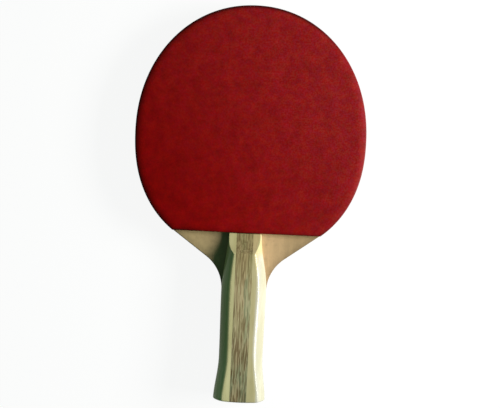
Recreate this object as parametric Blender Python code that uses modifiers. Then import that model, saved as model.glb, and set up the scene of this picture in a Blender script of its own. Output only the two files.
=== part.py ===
"""A table tennis racket, modelled as the separate pieces that are glued together to make it.

Lengths are in metres. The racket lies flat, its tip towards +Y and its red face up (+Z), and the
origin is the middle of its length, width and thickness. Each piece is built as on the front side;
the rear side is the same build under a parent that is turned half round about Y.
"""
import math

import bmesh
import bpy

# Head outline
HEAD_WIDTH = 0.1500
TIP_TO_WIDEST = 0.0846
WIDEST_TO_POLE = 0.0776          # from the widest line to where the lower curve would close
UPPER_FULLNESS = 2.07            # power of the superellipse, 2 is an ellipse
LOWER_FULLNESS = 2.25
RUBBER_EDGE_WIDTH = 0.0962       # length of the rubber's straight lower edge

# Blade
CORE_THICKNESS = 0.0026
CROSS_PLY_THICKNESS = 0.0009
FACE_PLY_THICKNESS = 0.0005
WING_ANGLE = math.radians(54.2)  # between a wing's edge and the racket's axis
WING_FILLET = 0.026
WING_SANDING = 0.0004            # rounding of the wings' upper edges

# Rubber
SPONGE_THICKNESS = 0.0018
TOPSHEET_THICKNESS = 0.0015
RUBBER_OVERHANG = 0.0002         # past the blade's rim
RIM_ROUNDING = 0.0012

# Handle outline, seen from the front
HANDLE_LENGTH = 0.1090           # from the rubber's lower edge to the butt
NECK_WIDTH = 0.0292
WAIST_WIDTH = 0.0283
BUTT_WIDTH = 0.0335
FLARE_LENGTH = 0.028             # from the waist to the butt

# Handle scales
GRIP_THICKNESS = 0.0220          # over both scales' flats
BUTT_THICKNESS = 0.0242
SHOULDER_WIDTH = 0.0226          # over the foot of a scale's upper end
SCOOP_THICKNESS = 0.0122         # over both scales where the hollows of their upper ends are lowest
SCOOP_RADIUS = 0.0148
SCOOP_LOWEST = 0.0020            # from the rubber's lower edge to the hollow's lowest line
BEVEL_WIDTH = 0.0059             # from the flat's edge to the handle's side, neck to butt
SHOULDER_BEVEL_WIDTH = 0.0050    # the same at a scale's upper end
BEVEL_FULLNESS = 1.35            # power of the bevel's superellipse, 1 is a plain chamfer
SIDE_LAND = 0.0008               # upright side of a scale, below its bevel
BUTT_ROUNDING = 0.0015
SHOULDER_ROUNDING = 0.0006
CENTRE_STRIP_WIDTH = 0.0109
CENTRE_STRIP_SHIFT = -0.0006     # off the racket's axis

# Clearance left wherever two pieces are glued together
GLUE_GAP = 0.0003

# Fineness of the curves
MERGE_DISTANCE = 0.000001
HEAD_STEPS = 22                  # per quarter of the head
FILLET_STEPS = 7
ROUNDING_STEPS = 3
SANDING_STEPS = 2
SCOOP_STEPS = 7
NECK_STEPS = 6
GRIP_STEPS = 3
FLARE_STEPS = 7
BEVEL_STEPS = 7
SHARP_EDGE = math.radians(40)

# Base colour, roughness
RED_RUBBER = ((0.212, 0.008, 0.009), 0.55)
BLACK_RUBBER = ((0.012, 0.012, 0.013), 0.55)
SPONGE = ((0.80, 0.50, 0.16), 0.90)
FACE_VENEER = ((0.53, 0.38, 0.18), 0.45)
CROSS_VENEER = ((0.48, 0.33, 0.17), 0.60)
CORE_WOOD = ((0.66, 0.53, 0.33), 0.60)
PALE_STRIP = ((0.485, 0.456, 0.242), 0.35)
DARK_STRIP = ((0.270, 0.216, 0.107), 0.40)

# Heights above the blade's middle plane
CROSS_PLY_BASE = CORE_THICKNESS / 2 + GLUE_GAP
FACE_PLY_BASE = CROSS_PLY_BASE + CROSS_PLY_THICKNESS + GLUE_GAP
BLADE_TOP = FACE_PLY_BASE + FACE_PLY_THICKNESS
SPONGE_BASE = BLADE_TOP + GLUE_GAP
TOPSHEET_BASE = SPONGE_BASE + SPONGE_THICKNESS + GLUE_GAP
SCALE_BASE = BLADE_TOP + GLUE_GAP

# Places along the racket's axis
WIDEST_TO_EDGE = WIDEST_TO_POLE * (
    1 - (RUBBER_EDGE_WIDTH / HEAD_WIDTH) ** LOWER_FULLNESS) ** (1 / LOWER_FULLNESS)
TIP_Y = (TIP_TO_WIDEST + WIDEST_TO_EDGE + HANDLE_LENGTH) / 2
WIDEST_Y = TIP_Y - TIP_TO_WIDEST
RUBBER_EDGE_Y = WIDEST_Y - WIDEST_TO_EDGE


def ease(fraction):
    """Smooth step from 0 to 1 that is level at both ends."""
    fraction = min(max(fraction, 0.0), 1.0)
    return fraction * fraction * (3 - 2 * fraction)


def blend(start, end, fraction):
    return start + (end - start) * ease(fraction)


def spaced(start, end, steps):
    """Evenly spaced values from start up to, but without, end."""
    return [start + (end - start) * step / steps for step in range(steps)]


def quarter_curve(width, height, fullness, angle):
    """Point of a superellipse's quarter: angle 0 is its side and a right angle its top."""
    power = 2 / fullness
    return width * math.cos(angle) ** power, height * math.sin(angle) ** power


def head_side(inset):
    """Right side of the head, from the rubber's lower edge up to the tip."""
    half_width = HEAD_WIDTH / 2 - inset
    lower_height = WIDEST_TO_POLE - inset
    upper_height = TIP_TO_WIDEST - inset
    edge_angle = math.asin((WIDEST_TO_EDGE / lower_height) ** (LOWER_FULLNESS / 2))
    lower_steps = round(HEAD_STEPS * edge_angle / (math.pi / 2))
    points = []
    for angle in spaced(edge_angle, 0, lower_steps):
        x, depth = quarter_curve(half_width, lower_height, LOWER_FULLNESS, angle)
        points.append((x, WIDEST_Y - depth))
    for angle in spaced(0, math.pi / 2, HEAD_STEPS):
        x, rise = quarter_curve(half_width, upper_height, UPPER_FULLNESS, angle)
        points.append((x, WIDEST_Y + rise))
    points.append((0, WIDEST_Y + upper_height))
    return points


BLADE_CORNER_X = head_side(RUBBER_OVERHANG)[0][0]

# Places on the handle, as distances below the rubber's lower edge
NECK = ((BLADE_CORNER_X - NECK_WIDTH / 2 - WING_FILLET * (1 - math.cos(WING_ANGLE)))
        / math.tan(WING_ANGLE) + WING_FILLET * math.sin(WING_ANGLE))
WAIST = HANDLE_LENGTH - FLARE_LENGTH
SCOOP_FLOOR = SCOOP_RADIUS - (GRIP_THICKNESS - SCOOP_THICKNESS) / 2
SCOOP_END = SCOOP_LOWEST + math.sqrt(SCOOP_RADIUS ** 2 - SCOOP_FLOOR ** 2)


def handle_half_width(below):
    """Half the handle's width, which is also the blade's under the scales."""
    if below < WAIST:
        return blend(NECK_WIDTH / 2, WAIST_WIDTH / 2, (below - NECK) / (WAIST - NECK))
    return blend(WAIST_WIDTH / 2, BUTT_WIDTH / 2, (below - WAIST) / FLARE_LENGTH)


def foot_half_width(below):
    """Half the width of a scale where it meets the blade."""
    if below < NECK:
        return blend(SHOULDER_WIDTH / 2, NECK_WIDTH / 2, below / NECK)
    return handle_half_width(below)


def bevel_width(below):
    return blend(SHOULDER_BEVEL_WIDTH, BEVEL_WIDTH, below / NECK)


def flat_height(below):
    """Height of a scale's flat above the blade's middle plane."""
    return blend(GRIP_THICKNESS / 2, BUTT_THICKNESS / 2, (below - WAIST) / FLARE_LENGTH)


def top_height(below):
    """Height of a scale's top, which a round hollow brings down towards the upper end."""
    if below >= SCOOP_END:
        return flat_height(below)
    along = below - SCOOP_LOWEST
    return SCOOP_THICKNESS / 2 + SCOOP_RADIUS - math.sqrt(SCOOP_RADIUS ** 2 - along ** 2)


def rounded_end(radius):
    """Distances back from an end with the insets that round it off, from full section to end face."""
    angles = spaced(0, math.pi / 2, ROUNDING_STEPS) + [math.pi / 2]
    return [(radius * (1 - math.sin(angle)), radius * (1 - math.cos(angle))) for angle in angles]


def grip_stations():
    """Places from neck to butt, as distances below the rubber's edge, each with its inset."""
    rounding_start = HANDLE_LENGTH - BUTT_ROUNDING
    plain = spaced(NECK, WAIST, GRIP_STEPS) + spaced(WAIST, rounding_start, FLARE_STEPS)
    butt = [(HANDLE_LENGTH - back, inset) for back, inset in rounded_end(BUTT_ROUNDING)]
    return [(below, 0) for below in plain] + butt


def shoulder_stations():
    """The same, from a scale's upper end down to the neck."""
    rounding = reversed(rounded_end(SHOULDER_ROUNDING))
    upper_end = [(GLUE_GAP + back, inset) for back, inset in rounding]
    scoop = spaced(GLUE_GAP + SHOULDER_ROUNDING, SCOOP_END, SCOOP_STEPS)[1:]
    return upper_end + [(below, 0) for below in scoop + spaced(SCOOP_END, NECK, NECK_STEPS)]


def mirrored_outline(right_side):
    """Closed outline from its right side, which runs from its lowest point up to the tip."""
    left_side = [(-x, y) for x, y in reversed(right_side[:-1])]
    return right_side + left_side


def blade_outline():
    handle = [(handle_half_width(below) - inset, RUBBER_EDGE_Y - below)
              for below, inset in reversed(grip_stations()[1:])]
    fillet = []
    for angle in spaced(0, WING_ANGLE, FILLET_STEPS) + [WING_ANGLE]:
        x = NECK_WIDTH / 2 + WING_FILLET * (1 - math.cos(angle))
        fillet.append((x, RUBBER_EDGE_Y - NECK + WING_FILLET * math.sin(angle)))
    return mirrored_outline(handle + fillet + head_side(RUBBER_OVERHANG))


def rubber_outline():
    return mirrored_outline(head_side(0))


def scale_section(below, inset):
    """Points (x, z) across a scale, from its left foot over its top to its right foot."""
    foot = foot_half_width(below) - inset
    flat = foot - bevel_width(below)
    land_top = SCALE_BASE + SIDE_LAND
    bevel_height = flat_height(below) - inset - land_top
    cut_share = min((top_height(below) - inset - land_top) / bevel_height, 1)
    cut_angle = math.asin(cut_share ** (BEVEL_FULLNESS / 2))
    right_side = [(foot, SCALE_BASE)]
    for angle in spaced(0, cut_angle, BEVEL_STEPS) + [cut_angle]:
        across, up = quarter_curve(foot - flat, bevel_height, BEVEL_FULLNESS, angle)
        right_side.append((flat + across, land_top + up))
    left_side = [(-x, z) for x, z in right_side]
    return left_side + right_side[::-1]


def clear_scene():
    for leftover in list(bpy.data.objects):
        bpy.data.objects.remove(leftover)


def new_collection(name):
    collection = bpy.data.collections.new(name)
    bpy.context.scene.collection.children.link(collection)
    return collection


def new_material(name, colour, roughness):
    material = bpy.data.materials.new(name)
    material.use_nodes = True
    shader = material.node_tree.nodes['Principled BSDF']
    shader.inputs['Base Color'].default_value = (*colour, 1)
    shader.inputs['Roughness'].default_value = roughness
    shader.inputs['Metallic'].default_value = 0
    material.diffuse_color = (*colour, 1)
    return material


def new_group(collection, name, rear=False):
    """Empty that carries one side's pieces; a rear one turns them over."""
    group = bpy.data.objects.new(name, None)
    group.empty_display_size = CORE_THICKNESS
    if rear:
        group.rotation_euler = (0, math.pi, 0)
    collection.objects.link(group)
    return group


def add_piece(group, name, data, material):
    data.materials.append(material)
    piece = bpy.data.objects.new(name, data)
    piece.parent = group
    group.users_collection[0].objects.link(piece)
    return piece


def add_layer(group, name, outline, base, thickness, material):
    """Flat piece of one thickness: a filled outline, extruded both ways from its middle."""
    curve = bpy.data.curves.new(name, 'CURVE')
    curve.dimensions = '2D'
    curve.fill_mode = 'BOTH'
    curve.extrude = thickness / 2
    spline = curve.splines.new('POLY')
    spline.points.add(len(outline) - 1)
    for point, (x, y) in zip(spline.points, outline):
        point.co = (x, y, 0, 1)
    spline.use_cyclic_u = True
    layer = add_piece(group, name, curve, material)
    layer.location.z = base + thickness / 2
    return layer


def as_mesh(layer):
    """Replace a curve by the same piece as one closed mesh, which can take modifiers."""
    name, group, location = layer.name, layer.parent, layer.location.copy()
    bpy.context.view_layer.update()
    evaluated = layer.evaluated_get(bpy.context.evaluated_depsgraph_get())
    mesh = bpy.data.meshes.new_from_object(evaluated)
    bpy.data.objects.remove(layer)
    shape = bmesh.new()
    shape.from_mesh(mesh)
    bmesh.ops.remove_doubles(shape, verts=shape.verts, dist=MERGE_DISTANCE)
    shape.to_mesh(mesh)
    shape.free()
    piece = bpy.data.objects.new(name, mesh)
    piece.parent = group
    piece.location = location
    group.users_collection[0].objects.link(piece)
    return piece


def round_outer_edges(piece, lowest_y, highest_y, radius, segments):
    """Round a layer's sharp outer edges whose middles lie between two places on the axis."""
    shape = bmesh.new()
    shape.from_mesh(piece.data)
    weight = shape.edges.layers.float.new('bevel_weight_edge')
    for edge in shape.edges:
        middle = (edge.verts[0].co + edge.verts[1].co) / 2
        outer = min(vertex.co.z for vertex in edge.verts) > 0
        if outer and edge.calc_face_angle() > SHARP_EDGE and lowest_y < middle.y < highest_y:
            edge[weight] = 1
    shape.to_mesh(piece.data)
    shape.free()
    rounding = piece.modifiers.new('rounding', 'BEVEL')
    rounding.limit_method = 'WEIGHT'
    rounding.width = radius
    rounding.segments = segments


def add_blade(collection, materials):
    outline = blade_outline()
    blade = new_group(collection, 'blade')
    add_layer(blade, 'core_ply', outline, -CORE_THICKNESS / 2, CORE_THICKNESS, materials['core_wood'])
    for side, rear in (('front', False), ('rear', True)):
        skin = new_group(collection, side + '_plies', rear)
        add_layer(skin, side + '_cross_ply', outline, CROSS_PLY_BASE, CROSS_PLY_THICKNESS,
                  materials['cross_veneer'])
        face = as_mesh(add_layer(skin, side + '_face_ply', outline, FACE_PLY_BASE,
                                 FACE_PLY_THICKNESS, materials['face_veneer']))
        round_outer_edges(face, RUBBER_EDGE_Y - NECK, RUBBER_EDGE_Y, WING_SANDING, SANDING_STEPS)


def add_rubber(collection, side, rear, sheet_material, sponge_material):
    """Sponge and topsheet of one side, cut together to one outline."""
    outline = rubber_outline()
    rubber = new_group(collection, side + '_rubber', rear)
    add_layer(rubber, side + '_sponge', outline, SPONGE_BASE, SPONGE_THICKNESS, sponge_material)
    topsheet = as_mesh(add_layer(rubber, side + '_topsheet', outline, TOPSHEET_BASE,
                                 TOPSHEET_THICKNESS, sheet_material))
    round_outer_edges(topsheet, RUBBER_EDGE_Y, TIP_Y, RIM_ROUNDING, ROUNDING_STEPS)
    topsheet.data.shade_smooth()
    topsheet.data.set_sharp_from_angle(angle=SHARP_EDGE)


def scale_blank():
    """One whole scale, lofted through its sections, before it is parted into strips."""
    shape = bmesh.new()
    rings = []
    for below, inset in shoulder_stations() + grip_stations():
        y = RUBBER_EDGE_Y - below
        rings.append([shape.verts.new((x, y, z)) for x, z in scale_section(below, inset)])
    for upper, lower in zip(rings, rings[1:]):
        for index, corner in enumerate(upper):
            shape.faces.new((upper[index - 1], corner, lower[index], lower[index - 1]))
    shape.faces.new(rings[0])
    shape.faces.new(rings[-1])
    bmesh.ops.recalc_face_normals(shape, faces=shape.faces)
    mesh = bpy.data.meshes.new('scale_blank')
    shape.to_mesh(mesh)
    shape.free()
    mesh.shade_smooth()
    mesh.set_sharp_from_angle(angle=SHARP_EDGE)
    return mesh


def strip_zones():
    """Left and right limits of each strip of a scale, seen from the front."""
    outside = max(BUTT_WIDTH, NECK_WIDTH, SHOULDER_WIDTH)
    left_joint = CENTRE_STRIP_SHIFT - CENTRE_STRIP_WIDTH / 2
    right_joint = CENTRE_STRIP_SHIFT + CENTRE_STRIP_WIDTH / 2
    return {
        'left_strip': (-outside, left_joint - GLUE_GAP),
        'centre_strip': (left_joint, right_joint),
        'right_strip': (right_joint + GLUE_GAP, outside),
    }


def strip_cutter(collection, name, left, right):
    """Box that keeps one strip's share of both scales."""
    shape = bmesh.new()
    bmesh.ops.create_cube(shape, size=1)
    bmesh.ops.scale(shape, vec=(right - left, 2 * HANDLE_LENGTH, 2 * BUTT_THICKNESS), verts=shape.verts)
    mesh = bpy.data.meshes.new(name)
    shape.to_mesh(mesh)
    shape.free()
    cutter = bpy.data.objects.new(name, mesh)
    cutter.location = ((left + right) / 2, RUBBER_EDGE_Y - HANDLE_LENGTH / 2, 0)
    cutter.hide_render = True
    cutter.display_type = 'WIRE'
    collection.objects.link(cutter)
    return cutter


def add_scales(collection, cutters, materials):
    """Both scales, each parted into three strips by the same cutters."""
    blank = scale_blank()
    scales = {'front': new_group(collection, 'front_scale'),
              'rear': new_group(collection, 'rear_scale', rear=True)}
    for strip, (left, right) in strip_zones().items():
        cutter = strip_cutter(cutters, strip + '_zone', left, right)
        material = materials['dark_strip' if strip == 'centre_strip' else 'pale_strip']
        for side, scale in scales.items():
            piece = add_piece(scale, side + '_scale_' + strip, blank.copy(), material)
            parting = piece.modifiers.new('parting', 'BOOLEAN')
            parting.operation = 'INTERSECT'
            parting.solver = 'EXACT'
            parting.object = cutter


def main():
    clear_scene()
    parts = new_collection('table_tennis_racket')
    cutters = new_collection('cutters')
    finishes = {
        'red_rubber': RED_RUBBER,
        'black_rubber': BLACK_RUBBER,
        'sponge': SPONGE,
        'face_veneer': FACE_VENEER,
        'cross_veneer': CROSS_VENEER,
        'core_wood': CORE_WOOD,
        'pale_strip': PALE_STRIP,
        'dark_strip': DARK_STRIP,
    }
    materials = {name: new_material(name, *finish) for name, finish in finishes.items()}
    add_blade(parts, materials)
    add_rubber(parts, 'front', False, materials['red_rubber'], materials['sponge'])
    add_rubber(parts, 'rear', True, materials['black_rubber'], materials['sponge'])
    add_scales(parts, cutters, materials)


main()
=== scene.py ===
"""Looks of a table tennis racket: veneers, foam, rubber, handle scales, floor, light and camera.

Lengths are in metres and in the racket's own frame: tip towards +Y, red face up (+Z). The finishes
and the tables that say so are in millimetres.
"""
import math
from collections import Counter
from functools import cached_property

import bmesh
import bpy
import numpy as np
from mathutils import Matrix, Vector


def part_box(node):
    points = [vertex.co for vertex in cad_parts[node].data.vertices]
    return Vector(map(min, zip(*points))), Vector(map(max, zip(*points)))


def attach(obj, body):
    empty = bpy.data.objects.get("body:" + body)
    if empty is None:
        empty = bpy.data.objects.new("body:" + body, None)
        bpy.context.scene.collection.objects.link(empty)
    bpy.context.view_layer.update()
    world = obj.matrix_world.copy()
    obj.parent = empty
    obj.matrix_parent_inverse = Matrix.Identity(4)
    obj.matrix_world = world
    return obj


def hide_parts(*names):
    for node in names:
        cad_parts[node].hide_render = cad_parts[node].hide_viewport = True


MM = 0.001
TINY = 1e-6                      # lengths below this are rounding errors
SHARP_ANGLE = math.radians(35)   # between faces, from which their edge isn't shaded smooth
CORNER_ANGLE = math.radians(20)  # of an outline's turn, from which it stays a corner

# Handle, as on the solids
HANDLE_LENGTH = 0.1090
SHOULDER_WIDTH = 0.0226
NECK_BELOW = 0.0373              # from the rubber's lower edge
NECK_WIDTH = 0.0292
WAIST_WIDTH = 0.0283
BUTT_WIDTH = 0.0335
FLARE_LENGTH = 0.028
GRIP_THICKNESS = 0.0220
BUTT_THICKNESS = 0.0242
SCOOP_THICKNESS = 0.0122
SCOOP_RADIUS = 0.0148
SCOOP_LOWEST = 0.0020
JOINTS = (-0.00605, 0.00485)     # between a scale's strips, left and right

# Handle, finer than on the solids
SHOULDER_BEVEL = 0.0050
GRIP_BEVEL = 0.0062
LEFT_FULLNESS = 1.5              # power of the bevel's superellipse, 1 is a plain chamfer
RIGHT_FULLNESS = 1.3
SIDE_LAND = 0.0011               # upright side below the bevel
SCOOP_SOFTNESS = 0.0012          # heights over which hollow and flat run into each other
SCOOP_REACH = 0.985              # share of the hollow's radius that its circle is followed to
SHOULDER_START = 0.0002          # from the rubber's lower edge to the scales
SHOULDER_ROUNDING = 0.0005
BUTT_ROUNDING = 0.0011
BUTT_BOW = 0.0009                # how far the butt's corners are drawn back
BOW_LENGTH = 0.014

# How much more the scales' edges are sanded away than on the solids: (mm below the rubber, mm)
LEFT_SANDING = ((0, 0.1), (5, 0.6), (9, 1.2), (14.5, 0))
RIGHT_SANDING = ((0, 0.8), (5, 1.5), (9, 2.0), (14.5, 0), (30, -0.4), (44, -0.6), (57, -0.2), (72, 0),
                 (93, -0.9), (106, -1.25))
RIGHT_FOOT_SANDING = ((0, 1.2), (8, 1.1), (30, 0))

# Fineness of the handle
SHOULDER_STEPS = 4
HOLLOW_END = 0.017               # from the rubber's lower edge to below the hollow
HOLLOW_STEPS = 22
NECK_STEPS = 8
GRIP_STEPS = 14
FLARE_STEPS = 12
BUTT_STEPS = 6
BEVEL_STEPS = 14
FLAT_STEPS = 3
CENTRE_STEPS = 4

# Layers: heights above the middle plane, with the glue gaps closed
CORE_TOP = 0.00145
CROSS_TOP = 0.00265
BLADE_TOP = 0.0033
SPONGE_TOP = 0.00555
SHEET_BASE = 0.00645
RUBBER_TOP = 0.0072

# Face veneer
WING_SANDING = 0.0004
SANDING_STEPS = 3
FACE_RINGS = (0.7, 1.1, 1.7, 2.5, 3.6, 5.0, 7.0)      # mm inside the rim, which only the wings show
WINGS_END_Y = -0.066
WINGS_FADE = 0.012               # length over which the rings draw together there
TANG_SHARE = 0.08                # share of the rings' insets that is left along the tang
EDGE_RIM = 9.0                   # mm from the rim that the other plies' plain edges count as

# Rubber's rim
RIM_BAND = 0.0060
RIM_DROP = 0.00095
RIM_POWER = 2.25
RIM_ROUNDING = 0.0006
ROUNDING_STEPS = 6
LESS_SHADED_CUT = 0.0009               # how much less painted rim shade the cut beside the handle has, as a distance
TOP_INSETS = (0.85, 1.2, 1.6, 2.1, 2.7, 3.3, 4.0, 4.8, 5.6, 7, 12, 20, 32, 48, 64)     # mm
BASE_INSETS = (7, 5.6, 4.0, 2.7, 1.6, 0.8)                                            # mm
FOAM_EDGE_INSETS = (0.15, 0.02, 0, 0.1)               # mm, from the blade up
FOAM_SOFTNESS = 0.0001           # height over which the foam's cut edges are soft

# Pimples
PIMPLE_PITCH = 0.0021
PIMPLE_RADIUS = 0.00085
PIMPLE_SIDES = 14
PIMPLE_DEPTH = 0.0055            # how far in from the rim single pimples are made
PIMPLE_OVERHANG = 0.8            # share of a radius that a cut pimple's middle may lie outside
CUTTING_REACH = 1.01             # radii within which a side of the outline cuts a pimple
PIMPLE_TONE = 0.6                # mm from the rim that their finish counts as, so that they take the rubber's painted rim shade
BLOCK_INSET = PIMPLE_DEPTH + 0.001      # from the rim to the block that stands for the others

# Where finishes change: (from, to) in mm, across the racket (x), along it (y) or from the rim
# Painted light on the rubber: lighter towards the tip and a painted sheen towards the upper right
RUBBER_TIP_LIGHT_Y = (-20, 120)
RUBBER_SHEEN_RANGE = (-115, 200)        # along a slanting line towards the upper right
SHEEN_SLANT = 1.5
SHEEN_WAVER = 60                  # a waver is how far clouds or stains shift a place
# Painted shade: the rubber darker towards its sides
RUBBER_SHADED_X2 = (300, 2500)   # squares of the distances from the axis
# Painted shade along the rubber's rim: a dark line and a darker band, wider at the tip, fading out towards
# the lit right side
RUBBER_LIT_RIM_X = (30, 66)
TIP_RIM_SHADE_Y = (90, 125)
RIM_SHADE_LINE = (0.4, 1.5)
RIM_SHADE_BAND = (0, 3.6)
# Face veneer: painted shade on the right wing, painted bounce light beside the handle on the right, painted
# shadow beside it on the left
RIGHT_WING_X = (0, 8)
BOUNCE_LIT_WING_X = (14, 34)
BOUNCE_WAVER = 14
SHADOWED_WING_X = (-29, -15)
SHADOW_WAVER = 22
# Painted shade along the face veneer's rim: a darker band and a darker line
WOOD_RIM_SHADE = (0.0, 5.0)
WOOD_RIM_WAVER = 3
WOOD_RIM_LINE = (0.1, 0.9)
GLUE_LINE = (0.03, 0.11)
RIGHT_STRIP_X = (0, 4)
# Painted highlight along the right bevel of the pale strips
RIGHT_BEVEL_HIGHLIGHT_X = (6.8, 8.6)
GLINT_START_X = (7.1, 8.2)        # painted glint: a bright band along the right bevel's edge
GLINT_END_X = (9.3, 11.0)
BUTT_BEVEL_Y = (-128, -95)
BUTT_BEVEL_OUT = 3.0             # how much further out the right bevel lies at the butt
UPPER_BEVEL_Y = (-90, -62)
UPPER_BEVEL_OUT = 0.6            # and above the waist
BELOW_HOLLOW_Y = (-36, -30)
HOLLOW_Y = (-36, -28)
HOLLOW_RIGHT_X = (7.2, 8.2)      # the hollow's right edge where HOLLOW_Y ends
HOLLOW_SLANT = 0.23              # how much further out that edge is per mm further up
# Painted light on the left pale strip and a little painted shade on the right one, near the butt
BUTT_LIGHT_Y = (-115, -85)
STREAKS_DEEP_Y = (-125, -35)
GREEN_MIDDLE_Y = -82
CENTRE_PALER_Y = (-104, -70)
CENTRE_DARKER_Y = (-62, -24)
CENTRE_YELLOWER_Y = (-62, -30)
CENTRE_LEFT_X = (-5.8, -4.0)
ROW_SPACING = 1.9
ROW_WAVER = 5

# Camera
IMAGE_WIDTH = 500
FOCAL_PIXELS = 993.4
SENSOR_WIDTH = 36                # mm
CAMERA_HEIGHT = 0.650
CAMERA_X = 0.00153
CAMERA_Y = -0.00044
CAMERA_TURN = math.radians(2.65)
CAMERA_RANGE = (0.01, 50)

# Light
LIGHT_PLACE = (0.66, 0.03, 0.31)
LIGHT_LENGTH = 0.50
LIGHT_HEIGHT = 0.20
LIGHT_POWER = 12.4
LIGHT_COLOUR = (1.0, 0.985, 0.97)
FILL_COLOUR = (0.43, 1.0, 0.70)
FILL_LEVEL = 0.175

# Floor
FLOOR_PAINT = (0.25, 0.28, 0.26)
FLOOR_SHOWN = (0.95, 0.95, 0.95)
FLOOR_GLOW = 0.91                # share of the shown floor that is plain white, without shadow
FLOOR_MIDDLE = 0.5
FLOOR_RADIUS = 4.0
COVE_RADIUS = 1.6
COVE_STEPS = 10
STUDIO_SEGMENTS = 96

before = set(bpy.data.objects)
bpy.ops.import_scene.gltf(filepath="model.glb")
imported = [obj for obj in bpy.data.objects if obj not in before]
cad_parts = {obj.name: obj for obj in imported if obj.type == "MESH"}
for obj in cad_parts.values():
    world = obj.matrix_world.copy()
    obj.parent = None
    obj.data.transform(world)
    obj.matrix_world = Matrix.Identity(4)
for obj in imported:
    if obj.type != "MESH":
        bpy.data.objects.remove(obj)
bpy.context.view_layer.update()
WAIST_BELOW = HANDLE_LENGTH - FLARE_LENGTH
RUBBER_EDGE_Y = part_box("front_sponge")[0].y
BUTT_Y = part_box("core_ply")[0].y
SCALE_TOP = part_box("front_scale_centre_strip")[1].z


# Shader kit

class Signal:
    """Output of a shader node. Arithmetic on it adds the nodes that work it out."""

    def __init__(self, finish, socket):
        self.finish = finish
        self.socket = socket

    def combine(self, operation, first, second):
        """Math on plain values, Mix on colours and Vector Math on vectors."""
        kinds = [value.socket.type for value in (first, second) if isinstance(value, Signal)]
        if all(kind == 'VALUE' for kind in kinds):
            return self.finish.maths(operation, first, second)
        if 'RGBA' in kinds:
            return self.finish.node('Mix', {'data_type': 'RGBA', 'blend_type': operation},
                                    {'Factor': 1, 6: as_colour(first), 7: as_colour(second)}, 2)
        if operation == 'MULTIPLY' and not isinstance(second, (Signal, tuple)):
            return self.finish.node('VectorMath', {'operation': 'SCALE'}, {0: first, 'Scale': second})
        return self.finish.node('VectorMath', {'operation': operation}, {0: first, 1: second})

    def __add__(self, other):
        return self.combine('ADD', self, other)

    def __radd__(self, other):
        return self.combine('ADD', other, self)

    def __sub__(self, other):
        return self.combine('SUBTRACT', self, other)

    def __rsub__(self, other):
        return self.combine('SUBTRACT', other, self)

    def __mul__(self, other):
        return self.combine('MULTIPLY', self, other)

    def __rmul__(self, other):
        return self.combine('MULTIPLY', other, self)


def as_colour(value):
    """A plain number as the grey of that level; anything else as it is."""
    if isinstance(value, (int, float)):
        return (value, value, value)
    return value


class Finish:
    """Nodes of a material or of the world, in the making."""

    def __init__(self, owner):
        owner.use_nodes = True
        self.owner = owner
        self.tree = owner.node_tree
        self.tree.nodes.clear()

    @cached_property
    def place(self):
        """Place on the racket, in millimetres."""
        return self.node('TexCoord', output='Object') * (1 / MM)

    def node(self, kind, settings=None, inputs=None, output=0):
        """Output of a new node. Its settings are made first, then its sockets are set or linked."""
        made = self.tree.nodes.new('ShaderNode' + kind)
        for key, value in (settings or {}).items():
            setattr(made, key, value)
        for key, value in (inputs or {}).items():
            socket = made.inputs[key]
            if isinstance(value, Signal):
                self.tree.links.new(value.socket, socket)
            elif isinstance(value, tuple) and socket.type == 'RGBA':
                socket.default_value = (*value, 1)
            else:
                socket.default_value = value
        return Signal(self, made.outputs[output]) if made.outputs else None

    def noise(self, scale, detail=3, roughness=0.5, stretch=(1, 1, 1), shift=(0, 0, 0), distortion=0):
        """Cloudy value round 0.5; scale is in features per millimetre."""
        place = self.place * tuple(scale * s for s in stretch) + tuple(float(s) for s in shift)
        return self.node('TexNoise', {}, {'Vector': place, 'Scale': 1, 'Detail': detail,
                                          'Roughness': roughness, 'Distortion': distortion})

    def between(self, value, low, high, out_low=0.0, out_high=1.0):
        """Smooth step of a value from low to high."""
        return self.node('MapRange', {'interpolation_type': 'SMOOTHSTEP'},
                         {'Value': value, 'From Min': low, 'From Max': high,
                          'To Min': out_low, 'To Max': out_high})

    def mix(self, factor, first, second):
        return self.node('Mix', {'data_type': 'RGBA'}, {'Factor': factor, 6: first, 7: second}, 2)

    def tinted(self, colour, mask, tint):
        """Colour times a tint where a mask is 1."""
        return colour * self.mix(mask, (1, 1, 1), tint)

    def maths(self, operation, *values):
        return self.node('Math', {'operation': operation}, dict(enumerate(values)))

    def attribute(self, name):
        return self.node('Attribute', {'attribute_name': name}, output='Fac')

    def axis(self, name):
        return self.node('SeparateXYZ', {}, {0: self.place}, name)

    def bump(self, height, distance, strength=1.0):
        return self.node('Bump', {}, {'Height': height, 'Distance': distance, 'Strength': strength})

    def surface(self, shader):
        """The material, with a shader as its surface."""
        self.node('OutputMaterial', {}, {'Surface': shader})
        return self.owner

    def principled(self, **inputs):
        """The material, as a plain surface with some sockets set; an underscore stands for a space."""
        names = {key.replace('_', ' '): value for key, value in inputs.items()}
        return self.surface(self.node('BsdfPrincipled', {}, names))


# Finishes

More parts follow.
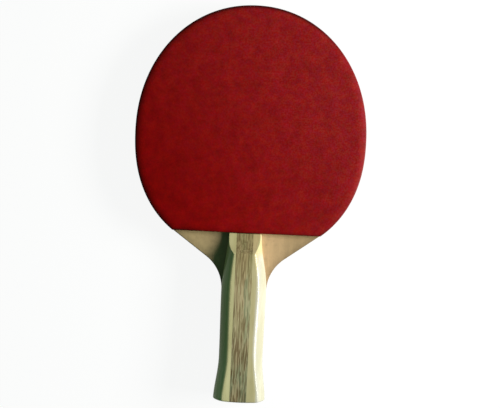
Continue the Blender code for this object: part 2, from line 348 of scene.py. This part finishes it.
def rubber_finish(name, colour, deep_colour, tip_light, warm_sheen, cool_sheen, rim_shade_colour):
    """Smooth mottled rubber, lighter towards its tip and with a patchy sheen towards its upper right, both
    painted light, and painted shade towards its sides and along its rim.
    """
    f = Finish(bpy.data.materials.new(name))
    x, y = f.axis('X'), f.axis('Y')
    clouds = f.noise(0.10, 3, 0.6)
    mottle = f.noise(0.22, 2, 0.55, shift=(3, 7, 1))
    tint = f.noise(0.24, 1, 0.5, shift=(11, 2, 5))
    specks = f.noise(0.85, 3, 0.6, shift=(1, 4, 9))
    sheen_patches = f.noise(0.95, 2, 0.5, shift=(6, 3, 2))
    tone = 1 + 0.34 * (clouds - 0.5) + 0.62 * (mottle - 0.5) + 0.60 * (specks - 0.5)
    cool = f.between(tint, 0.36, 0.64)
    # Painted sheen: patchy, and strongest towards the upper right, where the light falls
    painted_sheen = f.mix(cool, warm_sheen, cool_sheen) * f.between(sheen_patches, 0.35, 0.65, 0.3, 1.7)
    painted_sheen = painted_sheen * f.between(y + SHEEN_SLANT * x + SHEEN_WAVER * (clouds - 0.5), *RUBBER_SHEEN_RANGE)
    # Painted light towards the tip, then painted shade towards the sides
    skin = f.mix(cool, colour, deep_colour) + f.mix(f.between(y, *RUBBER_TIP_LIGHT_Y), (0, 0, 0), tip_light)
    skin = (skin * f.between(x * x, *RUBBER_SHADED_X2, 1.0, 0.94) + painted_sheen) * tone
    # Painted shade along the rim: a dark line and a darker band, fading out towards the lit right side
    rim = f.attribute('rim')
    rim_shade_share = f.between(x, *RUBBER_LIT_RIM_X, 1.0, 0.2)
    ragged = rim * f.between(y, *TIP_RIM_SHADE_Y, 1, 0.65) + 0.5 * (f.noise(0.42, 2, 0.55, shift=(3, 7, 1)) - 0.5)
    line = f.between(ragged, *RIM_SHADE_LINE, 0.7, 0)
    skin = skin * (1 - rim_shade_share * f.between(rim, *RIM_SHADE_BAND, 0.42, 0))
    bump = f.bump(specks * 0.6 + f.noise(3.5, 2, 0.5) * 0.4, 0.00005, 0.5)
    return f.principled(Base_Color=f.mix(line * rim_shade_share, skin, rim_shade_colour), Roughness=0.42 + 0.10 * clouds,
                        Normal=bump, Specular_IOR_Level=0.08)


def sponge_finish(name, colour):
    """Fine open foam."""
    f = Finish(bpy.data.materials.new(name))
    cells = f.node('TexVoronoi', {'feature': 'F1'}, {'Vector': f.place, 'Scale': 3.2}, 'Distance')
    large = f.noise(0.25, 2)
    pores = f.between(cells, 0.05, 0.34)
    shade = f.mix(pores, tuple(c * 0.55 for c in colour), colour)
    return f.principled(Base_Color=shade * (0.85 + 0.25 * large), Roughness=0.9,
                        Normal=f.bump(pores, 0.00025, 0.8), Specular_IOR_Level=0.2)


def veneer_finish(name, pale, dark, grain, rough, right_wing_shade=None, bounce_light_tint=None):
    """Wood with its grain along one axis of the racket, 'X' or 'Y', with painted shade near its rim.

    A painted shade for the right wing and painted bounce light on its part beside the handle come with a
    painted shadow of the handle on the left wing.
    """
    f = Finish(bpy.data.materials.new(name))
    stretch = (1, 0.045, 1) if grain == 'Y' else (0.045, 1, 1)
    broad = f.noise(0.28, 3, 0.55, stretch, distortion=0.3)
    fine = f.noise(1.9, 4, 0.65, stretch, shift=(5, 1, 2))
    pores = f.noise(5.5, 2, 0.5, tuple(s if s == 1 else s * 1.6 for s in stretch), shift=(1, 8, 3))
    stains = f.noise(0.16, 3, 0.6, shift=(7, 2, 4))
    body = f.mix(f.between(broad, 0.25, 0.75), dark, pale)
    body = f.mix(f.between(fine, 0.30, 0.72) * 0.5, body, tuple(c * 1.12 for c in pale))
    body = f.mix(f.between(pores, 0.62, 0.74) * 0.55, body, tuple(c * 0.45 for c in dark))
    body = body * f.between(stains, 0.30, 0.62, 0.86, 1.04)
    if bounce_light_tint:
        x = f.axis('X')
        # Painted shade on the right wing, painted bounce light from the lit handle beside it, and the
        # handle's painted shadow on the left wing
        right = f.between(x, *RIGHT_WING_X)
        paler = f.between(x + BOUNCE_WAVER * (stains - 0.5), *BOUNCE_LIT_WING_X, 1, 0) * right
        painted_shadow = f.between(x + SHADOW_WAVER * (stains - 0.5), *SHADOWED_WING_X) * (1 - right)
        body = f.tinted(f.tinted(body, right, right_wing_shade), paler, bounce_light_tint) * (1 - 0.5 * painted_shadow)
    rim = f.attribute('rim')
    # Painted shade along the rim: a darker band and a darker line
    body = body * f.between(rim + WOOD_RIM_WAVER * (broad - 0.5), *WOOD_RIM_SHADE, 0.80, 1.0)
    body = body * f.between(rim, *WOOD_RIM_LINE, 0.62, 1.0)
    height = f.maths('ABSOLUTE', f.axis('Z'))
    for glue_line in (CORE_TOP / MM, CROSS_TOP / MM):
        body = body * f.between(f.maths('ABSOLUTE', height - glue_line), *GLUE_LINE, 0.45, 1.0)
    return f.principled(Base_Color=body, Roughness=rough + 0.12 * fine, Specular_IOR_Level=0.3,
                        Normal=f.bump(fine * 0.6 + pores * -0.4, 0.00008, 0.45))


def varnished(f, body, fineness):
    """Handle wood with fine fibres, under a thin, nearly smooth coat of varnish."""
    fibres = f.noise(fineness, 3, 0.6, (1, 0.05, 1), shift=(0, 6, 4))
    return f.principled(Base_Color=body * (0.88 + 0.24 * fibres), Roughness=0.42, Coat_Weight=0.25,
                        Coat_Roughness=0.14, Specular_IOR_Level=0.06, Normal=f.bump(fibres, 0.00006, 0.35))


def pale_strip_finish(name):
    """Pale, close-grained handle wood, warmer beside the hollow, with a painted highlight along the right
    bevel and painted light and shade near the butt.
    """
    f = Finish(bpy.data.materials.new(name))
    x, y = f.axis('X'), f.axis('Y')
    broad = f.noise(0.22, 3, 0.55, (1, 0.12, 1), shift=(2, 0, 5), distortion=0.4)
    grain = f.noise(0.9, 3, 0.6, (1, 0.08, 1), shift=(9, 3, 0))
    body = f.mix(f.between(broad, 0.32, 0.68), (0.43, 0.385, 0.19), (0.485, 0.435, 0.235))
    body = f.mix(f.between(grain, 0.52, 0.74) * 0.45, body, (0.36, 0.295, 0.145))
    right = f.between(x, *RIGHT_STRIP_X)
    body = f.tinted(body, right, (1.01, 0.95, 1.00))
    # Distance from the axis, less where the right bevel lies further out, so that one range fits all of it
    edge = x + (broad - 0.5) - f.between(y, *BUTT_BEVEL_Y, BUTT_BEVEL_OUT, 0)
    edge = edge - f.between(y, *UPPER_BEVEL_Y, 0, UPPER_BEVEL_OUT)
    below_hollow = f.between(y, *BELOW_HOLLOW_Y, 1, 0)
    band = f.between(edge, *GLINT_START_X) * f.between(edge, *GLINT_END_X, 1, 0)
    # Painted highlight: the right bevel whitened below the hollow, with a brighter painted glint along its
    # start
    body = f.tinted(body, f.between(edge, *RIGHT_BEVEL_HIGHLIGHT_X) * below_hollow, (0.97, 1.08, 1.46))
    body = f.tinted(body, band * below_hollow, (1.02, 1.02, 1.14))
    warmer = f.mix(right, (0.98, 0.95, 0.94), (1.0, 0.89, 0.83))
    outside_hollow = f.between(x - HOLLOW_SLANT * (y - HOLLOW_Y[1]), *HOLLOW_RIGHT_X)
    warmer = f.mix(outside_hollow, warmer, (1.0, 1.07, 0.99))
    body = f.tinted(body, f.between(y, *HOLLOW_Y), warmer)
    # Painted light on the left strip and a little painted shade on the right one, near the butt
    butt_light_tint = f.mix(right, (1.17, 1.18, 1.25), (0.94, 0.96, 0.96))
    body = f.tinted(body, f.between(y, *BUTT_LIGHT_Y, 1, 0), butt_light_tint)
    return varnished(f, body, 3.6)


def dark_strip_finish(name):
    """Darker handle wood: many thin dark lines along the grain, redder on the left, greener on the right."""
    f = Finish(bpy.data.materials.new(name))
    x, y = f.axis('X'), f.axis('Y')
    patches = f.noise(0.20, 2, 0.5, (1, 0.20, 1), shift=(4, 2, 7))
    drift = f.noise(0.24, 2, 0.5, (1, 0.16, 1), shift=(8, 5, 1))
    wander = f.noise(0.10, 2, 0.5, (1, 0.45, 1), shift=(3, 9, 2))
    rows = f.maths('SINE', (x + ROW_WAVER * wander) * (2 * math.pi / ROW_SPACING))
    streaks = f.noise(1.05, 1, 0.5, (1, 0.085, 1), shift=(2, 6, 4))
    lines = f.noise(1.55, 2, 0.55, (1, 0.075, 1), shift=(2, 7, 5))
    gaps = f.noise(1.7, 1, 0.5, (1, 0.055, 1), shift=(6, 1, 3))
    body = f.mix(f.between(patches, 0.40, 0.60), (0.300, 0.262, 0.142), (0.37, 0.290, 0.165))
    green = f.between(drift + 0.022 * x - 0.0026 * (y - GREEN_MIDDLE_Y), 0.50, 0.64)
    body = f.mix(green * 0.6, body, (0.275, 0.285, 0.170))
    body = f.mix(f.between(lines, 0.50, 0.66) * 0.65, body, (0.46, 0.375, 0.235))
    depth = f.between(y, *STREAKS_DEEP_Y, 1.0, 0.62)
    dark = f.between(streaks + 0.11 * rows, 0.50, 0.62) * depth
    body = f.mix(dark * 0.75, body, f.mix(green, (0.135, 0.080, 0.034), (0.105, 0.115, 0.060)))
    body = f.mix(f.between(gaps, 0.53, 0.62) * depth * 0.8, body, (0.135, 0.090, 0.042))
    body = body * (f.between(y, *CENTRE_PALER_Y, 0.86, 1.20) * f.between(y, *CENTRE_DARKER_Y, 1.0, 0.64))
    body = f.tinted(body, f.between(y, *CENTRE_YELLOWER_Y), (1.02, 0.98, 0.84))
    body = body * f.between(x, *CENTRE_LEFT_X, 0.84, 1.0)
    return varnished(f, body, 4.0)


FINISHES = {
    # Rubber colours: own, deep, painted tip light, warm and cool painted sheen, colour of the painted rim
    # shade
    'red_rubber': rubber_finish('smooth_red_rubber', (0.211, 0.0004, 0.0002), (0.205, 0.0, 0.0006),
                                (0.024, 0.0008, 0.0008), (0.0, 0.0082, 0.0060), (0.0, 0.0054, 0.0092),
                                (0.022, 0.004, 0.004)),
    'black_rubber': rubber_finish('smooth_black_rubber', (0.013, 0.013, 0.014), (0.010, 0.010, 0.011),
                                  (0.003, 0.003, 0.003), (0.0034, 0.0030, 0.0026),
                                  (0.0026, 0.0030, 0.0034), (0.006, 0.006, 0.006)),
    'sponge': sponge_finish('foam_sponge', (0.62, 0.40, 0.14)),
    # The right wing's tint is painted shade, the tint beside the handle painted bounce light
    'face_veneer': veneer_finish('face_veneer_wood', (0.395, 0.280, 0.142), (0.345, 0.245, 0.123), 'Y', 0.45,
                                 right_wing_shade=(0.94, 0.88, 0.88), bounce_light_tint=(1.53, 1.49, 1.59)),
    'cross_veneer': veneer_finish('cross_veneer_wood', (0.42, 0.29, 0.15), (0.33, 0.22, 0.11), 'X', 0.60),
    'core_wood': veneer_finish('core_ply_wood', (0.52, 0.41, 0.25), (0.45, 0.35, 0.21), 'Y', 0.60),
    'pale_strip': pale_strip_finish('pale_strip_wood'),
    'dark_strip': dark_strip_finish('dark_strip_wood'),
}


# Mesh kit

def outline_of(node):
    """Outline of a flat layer, read from the solid's upper face, counter-clockwise."""
    shape = bmesh.new()
    shape.from_mesh(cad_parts[node].data)
    bmesh.ops.remove_doubles(shape, verts=shape.verts, dist=TINY)
    top = max(v.co.z for v in shape.verts)
    upper = [face for face in shape.faces if min(v.co.z for v in face.verts) > top - TINY]
    uses = Counter(edge for face in upper for edge in face.edges)
    follow = {loop.vert: loop.link_loop_next.vert
              for face in upper for loop in face.loops if uses[loop.edge] == 1}
    here = next(iter(follow))
    points = []
    for _ in range(len(follow)):
        points.append((here.co.x, here.co.y))
        here = follow[here]
    shape.free()
    points = np.array(points)
    area = np.sum(points[:, 0] * np.roll(points[:, 1], -1) - points[:, 1] * np.roll(points[:, 0], -1))
    return points if area > 0 else points[::-1]


def turns(points):
    """Turning angle of an outline at each of its points."""
    ahead = np.roll(points, -1, 0) - points
    behind = points - np.roll(points, 1, 0)
    angle = np.arctan2(ahead[:, 1], ahead[:, 0]) - np.arctan2(behind[:, 1], behind[:, 0])
    return (angle + math.pi) % (2 * math.pi) - math.pi


def directed(before, after, side):
    """Direction from one point to another, as long as a side."""
    way = after - before
    return way * np.linalg.norm(side) / np.linalg.norm(way)


def smoothed(points, parts):
    """The same outline with each side cut into shorter ones along a smooth curve."""
    sharp = np.abs(turns(points)) > CORNER_ANGLE
    count = len(points)
    fine = []
    for i in range(count):
        a, b = points[i], points[(i + 1) % count]
        slope_a = b - a if sharp[i] else directed(points[i - 1], b, b - a)
        slope_b = b - a if sharp[(i + 1) % count] else directed(a, points[(i + 2) % count], b - a)
        for k in range(parts):
            t = k / parts
            h1, h2 = 2 * t**3 - 3 * t**2 + 1, t**3 - 2 * t**2 + t
            h3, h4 = -2 * t**3 + 3 * t**2, t**3 - t**2
            fine.append(h1 * a + h2 * slope_a + h3 * b + h4 * slope_b)
    return np.clip(fine, points.min(0), points.max(0))


def distance_to(points, starts, ends):
    """Distance of each point from the nearest of some straight sides."""
    best = np.full(len(points), np.inf)
    for start, side in zip(starts, ends - starts):
        t = np.clip((points - start) @ side / max(side @ side, TINY ** 2), 0, 1)
        best = np.minimum(best, np.linalg.norm(points - start - t[:, None] * side, axis=1))
    return best


def ease(t):
    """Smooth step from 0 to 1."""
    t = min(max(t, 0.0), 1.0)
    return t * t * (3 - 2 * t)


def blend(a, b, t):
    return a + (b - a) * ease(t)


def quarter(steps):
    """Angles of a quarter turn, from first to last."""
    return [math.pi / 2 * k / steps for k in range(steps + 1)]


def ring_faces(rings, count):
    """Faces between closed rings of the same number of points, ring after ring."""
    band = [(i, (i + 1) % count, count + (i + 1) % count, count + i) for i in range(count)]
    return [tuple(r * count + i for i in face) for r in range(rings - 1) for face in band]


def closed_faces(rings, count):
    """Faces between closed rings, with the first and the last ring filled."""
    last = (rings - 1) * count
    return ring_faces(rings, count) + [tuple(range(count)), tuple(range(last, last + count))]


def add_object(name, data):
    """New object in the scene."""
    made = bpy.data.objects.new(name, data)
    bpy.context.scene.collection.objects.link(made)
    return made


def make_piece(name, vertices, faces, slot, nodes=(), rear=False, rim=None):
    """New piece on the racket, turned over for the rear side, in the finish of a slot.

    rim says how far each point counts as lying from the rim, in millimetres.
    """
    vertices = np.array(vertices, float)
    if rear:
        vertices = vertices * (-1, 1, -1)
    mesh = bpy.data.meshes.new(name)
    mesh.from_pydata([tuple(v) for v in vertices], [], faces)
    shape = bmesh.new()
    shape.from_mesh(mesh)
    bmesh.ops.recalc_face_normals(shape, faces=shape.faces)
    shape.to_mesh(mesh)
    shape.free()
    if rim is not None:
        mesh.attributes.new('rim', 'FLOAT', 'POINT').data.foreach_set('value', np.array(rim, np.float32))
    mesh.shade_smooth()
    mesh.set_sharp_from_angle(angle=SHARP_ANGLE)
    mesh.materials.append(FINISHES[slot])
    piece = add_object(name, mesh)
    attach(piece, "root")
    if nodes:
        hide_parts(*nodes)
    return piece


def bowed(x, y):
    """Place along the axis, with the butt's corners drawn back so that its end is slightly round."""
    share = min(max(1 - (y - BUTT_Y) / BOW_LENGTH, 0), 1)
    return y + BUTT_BOW * share * share * (2 * x / BUTT_WIDTH) ** 2


# Blade

def ply(name, node, outline, base, top, slot, rear=False, sanding=0.0):
    """Ply of the blade, its upper rim sanded round by a given amount."""
    ahead = np.roll(outline, -1, 0) - np.roll(outline, 1, 0)
    inward = np.stack([-ahead[:, 1], ahead[:, 0]], 1)
    inward /= np.linalg.norm(inward, axis=1)[:, None]
    if sanding:
        steps = [(0.0, base)]
        steps += [(sanding * (1 - math.cos(a)), top - sanding * (1 - math.sin(a)))
                  for a in quarter(SANDING_STEPS)]
        steps += [(inset * MM, top) for inset in FACE_RINGS]
    else:
        steps = [(0.0, base), (0.0, top)]
    reach = np.clip((outline[:, 1] - WINGS_END_Y) / WINGS_FADE, TANG_SHARE, 1)[:, None]
    vertices, rim = [], []
    for inset, z in steps:
        ring = outline + inward * inset * (reach if inset > sanding else 1)
        vertices += [(x, bowed(x, y), z) for x, y in ring]
        rim += [inset / MM if sanding else EDGE_RIM] * len(outline)
    make_piece(name, vertices, closed_faces(len(steps), len(outline)), slot, (node,), rear, rim)


def build_blade():
    outline = smoothed(outline_of("core_ply"), 2)
    ply('blade_core', 'core_ply', outline, -CORE_TOP, CORE_TOP, 'core_wood')
    for side, rear in (('front', False), ('rear', True)):
        ply(f'blade_{side}_cross', f'{side}_cross_ply', outline, CORE_TOP, CROSS_TOP, 'cross_veneer', rear)
        ply(f'blade_{side}_face', f'{side}_face_ply', outline, CROSS_TOP, BLADE_TOP, 'face_veneer', rear,
            WING_SANDING)


# Rubber

def nested_rings(outline, insets):
    """Rings of an outline, drawn in by some millimetres towards the head's middle."""
    middle = np.array([0.0, outline[np.argmax(outline[:, 0]), 1]])
    half = outline[:, 0].max()
    return [middle + (outline - middle) * (1 - inset * MM / half) for inset in insets]


def rim_sides(outline):
    """Starts and ends of an outline's round sides, and those of its straight cut beside the handle."""
    lowest = outline[:, 1].min() + TINY
    ends = np.roll(outline, -1, 0)
    straight = (outline[:, 1] < lowest) & (ends[:, 1] < lowest)
    return (outline[~straight], ends[~straight]), (outline[straight], ends[straight])


def pressed(outline, vertices):
    """Rubber and sponge pressed thinner towards the round rim, where a die has cut them."""
    vertices = np.array(vertices, float)
    curved, _ = rim_sides(outline)
    inside = distance_to(vertices[:, :2], *curved)
    drop = RIM_DROP * np.clip(1 - inside / RIM_BAND, 0, 1) ** RIM_POWER
    vertices[:, 2] -= drop * (vertices[:, 2] - BLADE_TOP) / (RUBBER_TOP - BLADE_TOP)
    return vertices


def layer(name, outline, path, slot, rear, nodes=()):
    """Closed layer of the rubber: rings at (millimetres inside the outline, height), first to last."""
    rings = nested_rings(outline, [inset for inset, _ in path])
    vertices = pressed(outline, [(x, y, z) for ring, (_, z) in zip(rings, path) for x, y in ring])
    curved, cut = rim_sides(outline)
    rim = np.minimum(distance_to(vertices[:, :2], *curved), distance_to(vertices[:, :2], *cut) + LESS_SHADED_CUT)
    return make_piece(name, vertices, closed_faces(len(path), len(outline)), slot, nodes, rear, rim / MM)


def left_of(start, end, point):
    """Twice the area between a directed line and a point, positive on its left."""
    return (end[0] - start[0]) * (point[1] - start[1]) - (end[1] - start[1]) * (point[0] - start[0])


def clipped(polygon, starts, ends):
    """Part of a polygon that lies left of some directed lines."""
    for start, end in zip(starts, ends):
        kept = []
        for p, q in zip(polygon, polygon[1:] + polygon[:1]):
            a, b = left_of(start, end, p), left_of(start, end, q)
            if a >= 0:
                kept.append(p)
            if a * b < 0:
                t = a / (a - b)
                kept.append((p[0] + t * (q[0] - p[0]), p[1] + t * (q[1] - p[1])))
        polygon = kept
        if len(polygon) < 3:
            return []
    return polygon


def build_pimples(side, slot, rear, outline):
    """Rows of pimples under the sheet's rim, cut where the rubber was trimmed."""
    ends = np.roll(outline, -1, 0)
    length = np.linalg.norm(ends - outline, axis=1)
    low, high = outline.min(0), outline.max(0)
    row_pitch = PIMPLE_PITCH * math.sqrt(3) / 2
    rows = int((high[1] - low[1]) / row_pitch) + 2
    columns = int((high[0] - low[0]) / PIMPLE_PITCH) + 2
    spots = [(low[0] + (c + 0.5 * (r % 2)) * PIMPLE_PITCH, low[1] + r * row_pitch)
             for r in range(rows) for c in range(columns)]
    turn = [2 * math.pi * k / PIMPLE_SIDES for k in range(PIMPLE_SIDES)]
    vertices, faces = [], []
    for x, y in spots:
        inward = left_of(outline.T, ends.T, (x, y)) / length
        if not -PIMPLE_OVERHANG * PIMPLE_RADIUS < inward.min() < PIMPLE_DEPTH:
            continue
        polygon = [(x + PIMPLE_RADIUS * math.cos(a), y + PIMPLE_RADIUS * math.sin(a)) for a in turn]
        near = inward < CUTTING_REACH * PIMPLE_RADIUS
        polygon = clipped(polygon, outline[near], ends[near])
        if polygon:
            first = len(vertices)
            vertices += [(u, v, z) for z in (SPONGE_TOP, SHEET_BASE) for u, v in polygon]
            faces += [tuple(first + i for i in face) for face in closed_faces(2, len(polygon))]
    make_piece(f'{side}_rubber_pimples', pressed(outline, vertices), faces, slot, rear=rear,
               rim=[PIMPLE_TONE] * len(vertices))


def build_rubber():
    outline = smoothed(outline_of("front_sponge"), 3)
    sheet = [(inset, SHEET_BASE) for inset in (*BASE_INSETS, 0)]
    sheet += [(RIM_ROUNDING / MM * (1 - math.cos(a)), RUBBER_TOP - RIM_ROUNDING * (1 - math.sin(a)))
              for a in quarter(ROUNDING_STEPS)]
    sheet += [(inset, RUBBER_TOP) for inset in TOP_INSETS]
    block = [(BLOCK_INSET / MM, SPONGE_TOP), (BLOCK_INSET / MM, SHEET_BASE)]
    foam_heights = (BLADE_TOP, BLADE_TOP + FOAM_SOFTNESS, SPONGE_TOP - FOAM_SOFTNESS, SPONGE_TOP)
    foam = list(zip(FOAM_EDGE_INSETS, foam_heights))
    foam += [(inset, SPONGE_TOP) for inset in reversed(BASE_INSETS)]
    for side, slot, rear in (('front', 'red_rubber', False), ('rear', 'black_rubber', True)):
        layer(f'{side}_rubber_sheet', outline, sheet, slot, rear, (f'{side}_topsheet',))
        build_pimples(side, slot, rear, outline)
        layer(f'{side}_rubber_inner_pimples', outline, block, slot, rear)
        layer(f'{side}_foam', outline, foam, 'sponge', rear, (f'{side}_sponge',))


# Handle, with places on it as distances below the rubber's edge

def foot_half(below):
    """Half of the handle's width."""
    if below < NECK_BELOW:
        return blend(SHOULDER_WIDTH / 2, NECK_WIDTH / 2, below / NECK_BELOW)
    if below < WAIST_BELOW:
        return blend(NECK_WIDTH / 2, WAIST_WIDTH / 2, (below - NECK_BELOW) / (WAIST_BELOW - NECK_BELOW))
    return blend(WAIST_WIDTH / 2, BUTT_WIDTH / 2, (below - WAIST_BELOW) / FLARE_LENGTH)


def drawn_in(table, below):
    """Smooth value read off a table of (millimetres below the rubber, millimetres)."""
    for (p0, a0), (p1, a1) in zip(table, table[1:]):
        if below / MM < p1:
            return MM * blend(a0, a1, (below / MM - p0) / (p1 - p0))
    return MM * table[-1][1]


def flat_height(below):
    """Height of a scale's flat, never above the solid's."""
    return min(blend(GRIP_THICKNESS / 2, BUTT_THICKNESS / 2, (below - WAIST_BELOW) / FLARE_LENGTH), SCALE_TOP)


def top_height(below):
    """Height of the scale's top: the flat, with a round hollow at the upper end."""
    flat = flat_height(below)
    off = min(abs(below - SCOOP_LOWEST), SCOOP_REACH * SCOOP_RADIUS)
    hollow = SCOOP_THICKNESS / 2 + SCOOP_RADIUS - math.sqrt(SCOOP_RADIUS ** 2 - off ** 2)
    share = max(1 - abs(hollow - flat) / SCOOP_SOFTNESS, 0)
    return min(hollow, flat) - SCOOP_SOFTNESS * share * share / 4


def centre_section(top):
    """Points (x, z) round the centre strip."""
    left, right = JOINTS
    xs = [left + (right - left) * k / CENTRE_STEPS for k in range(CENTRE_STEPS + 1)]
    return [(left, BLADE_TOP)] + [(x, top) for x in xs] + [(right, BLADE_TOP)]


def strip_section(strip, below, inset):
    """Points (x, z) round one strip at a place on the handle."""
    top = top_height(below) - inset
    if strip == 'centre_strip':
        return centre_section(top)
    foot = foot_half(below) - inset
    bevel = blend(SHOULDER_BEVEL, GRIP_BEVEL, below / NECK_BELOW)
    if strip == 'left_strip':
        outward, joint, fullness = -1, -JOINTS[0], LEFT_FULLNESS
        bevel += drawn_in(LEFT_SANDING, below)
    else:
        outward, joint, fullness = 1, JOINTS[1], RIGHT_FULLNESS
        foot -= drawn_in(RIGHT_FOOT_SANDING, below)
        bevel += drawn_in(RIGHT_SANDING, below)
    land_top = BLADE_TOP + SIDE_LAND
    rise = flat_height(below) - inset - land_top
    cut = math.asin(min(max((top - land_top) / rise, 0), 1) ** (fullness / 2))
    power = 2 / fullness
    angles = [cut * k / BEVEL_STEPS for k in range(BEVEL_STEPS + 1)]
    points = [(joint, BLADE_TOP), (foot, BLADE_TOP)]
    points += [(foot - bevel * (1 - math.cos(a) ** power), land_top + rise * math.sin(a) ** power)
               for a in angles]
    edge = points[-1][0]
    points += [(edge + (joint - edge) * k / FLAT_STEPS, top) for k in range(1, FLAT_STEPS + 1)]
    return [(outward * x, z) for x, z in points]


def evenly(start, end, steps):
    """Stations evenly spaced after a start, up to and with an end."""
    return [(start + (end - start) * k / steps, 0) for k in range(1, steps + 1)]


def handle_stations():
    """Places down the handle, each with the inset that rounds the two ends."""
    last = HANDLE_LENGTH - BUTT_ROUNDING
    stations = [(SHOULDER_START + SHOULDER_ROUNDING * (1 - math.cos(a)),
                 SHOULDER_ROUNDING * (1 - math.sin(a))) for a in quarter(SHOULDER_STEPS)]
    stations += evenly(SHOULDER_START + SHOULDER_ROUNDING, HOLLOW_END, HOLLOW_STEPS)
    stations += evenly(HOLLOW_END, NECK_BELOW, NECK_STEPS)
    stations += evenly(NECK_BELOW, WAIST_BELOW, GRIP_STEPS)
    stations += evenly(WAIST_BELOW, last, FLARE_STEPS)
    stations += [(last + BUTT_ROUNDING * math.sin(a), BUTT_ROUNDING * (1 - math.cos(a)))
                 for a in quarter(BUTT_STEPS)[1:]]
    return stations


def build_scales():
    for side, rear in (('front', False), ('rear', True)):
        for strip in ('left_strip', 'centre_strip', 'right_strip'):
            sections = [(below, strip_section(strip, below, inset)) for below, inset in handle_stations()]
            vertices = [(x, bowed(x, RUBBER_EDGE_Y - below), z)
                        for below, section in sections for x, z in section]
            faces = closed_faces(len(sections), len(sections[0][1]))
            slot = 'dark_strip' if strip == 'centre_strip' else 'pale_strip'
            make_piece(f'{side}_grip_{strip}', vertices, faces, slot, (f'{side}_scale_{strip}',), rear)


# Studio

def build_camera():
    lens = bpy.data.cameras.new('camera')
    lens.sensor_width = SENSOR_WIDTH
    lens.lens = FOCAL_PIXELS / IMAGE_WIDTH * SENSOR_WIDTH
    lens.clip_start, lens.clip_end = CAMERA_RANGE
    camera = add_object('camera', lens)
    camera.location = (CAMERA_X, CAMERA_Y, CAMERA_HEIGHT)
    camera.rotation_euler = (0, 0, CAMERA_TURN)
    bpy.context.scene.camera = camera


def build_light():
    """Softbox that faces the racket's middle, its long side level."""
    lamp = bpy.data.lights.new('softbox', 'AREA')
    lamp.shape = 'RECTANGLE'
    lamp.size = LIGHT_LENGTH
    lamp.size_y = LIGHT_HEIGHT
    lamp.energy = LIGHT_POWER
    lamp.color = LIGHT_COLOUR
    softbox = add_object('softbox', lamp)
    softbox.location = LIGHT_PLACE
    back = Vector(LIGHT_PLACE).normalized()
    side = (Vector((0, 1, 0)) - back * back.y).normalized()
    softbox.rotation_euler = Matrix((side, back.cross(side), back)).transposed().to_euler()


def build_world():
    world = bpy.data.worlds.new('studio')
    bpy.context.scene.world = world
    f = Finish(world)
    fill = f.node('Background', {}, {'Color': FILL_COLOUR, 'Strength': FILL_LEVEL})
    f.node('OutputWorld', {}, {'Surface': fill})


def floor_finish():
    """White where it is seen, reflected or seen through, and a middling grey to all other light."""
    f = Finish(bpy.data.materials.new('studio_floor'))
    seen = f.node('LightPath', output='Is Camera Ray')
    for ray in ('Is Glossy Ray', 'Is Transmission Ray'):
        seen = f.maths('MAXIMUM', seen, f.node('LightPath', output=ray))
    paint = f.node('BsdfDiffuse', {}, {'Color': FLOOR_PAINT})
    pale = f.node('BsdfDiffuse', {}, {'Color': FLOOR_SHOWN})
    glow = f.node('Emission', {}, {'Color': (1, 1, 1), 'Strength': 1})
    shown = f.node('MixShader', {}, {0: FLOOR_GLOW, 1: pale, 2: glow})
    return f.surface(f.node('MixShader', {}, {0: seen, 1: paint, 2: shown}))


def build_floor():
    """Round floor that curves up into a low wall; the rear rubber's tip and the butt rest on it."""
    butt = Vector((0, BUTT_Y + BUTT_ROUNDING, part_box("rear_scale_centre_strip")[0].z))
    tip = Vector((0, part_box("rear_topsheet")[1].y - RIM_BAND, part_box("rear_topsheet")[0].z))
    lengthwise = (tip - butt).normalized()
    across = Vector((1, 0, 0))
    up = across.cross(lengthwise)
    middle = (butt + tip) / 2
    profile = [(FLOOR_MIDDLE, 0), (FLOOR_RADIUS / 2, 0)]
    profile += [(FLOOR_RADIUS + COVE_RADIUS * math.sin(a), COVE_RADIUS * (1 - math.cos(a)))
                for a in quarter(COVE_STEPS)]
    vertices = []
    for radius, height in profile:
        for k in range(STUDIO_SEGMENTS):
            a = 2 * math.pi * k / STUDIO_SEGMENTS
            outward = across * math.cos(a) + lengthwise * math.sin(a)
            vertices.append(tuple(middle + outward * radius + up * height))
    faces = [tuple(range(STUDIO_SEGMENTS))]
    faces += [face[::-1] for face in ring_faces(len(profile), STUDIO_SEGMENTS)]
    mesh = bpy.data.meshes.new('floor')
    mesh.from_pydata(vertices, [], faces)
    mesh.shade_smooth()
    mesh.materials.append(floor_finish())
    add_object('floor', mesh)


build_blade()
build_rubber()
build_scales()
build_camera()
build_light()
build_world()
build_floor()
bpy.context.scene.view_settings.view_transform = 'Standard'
bpy.context.view_layer.update()
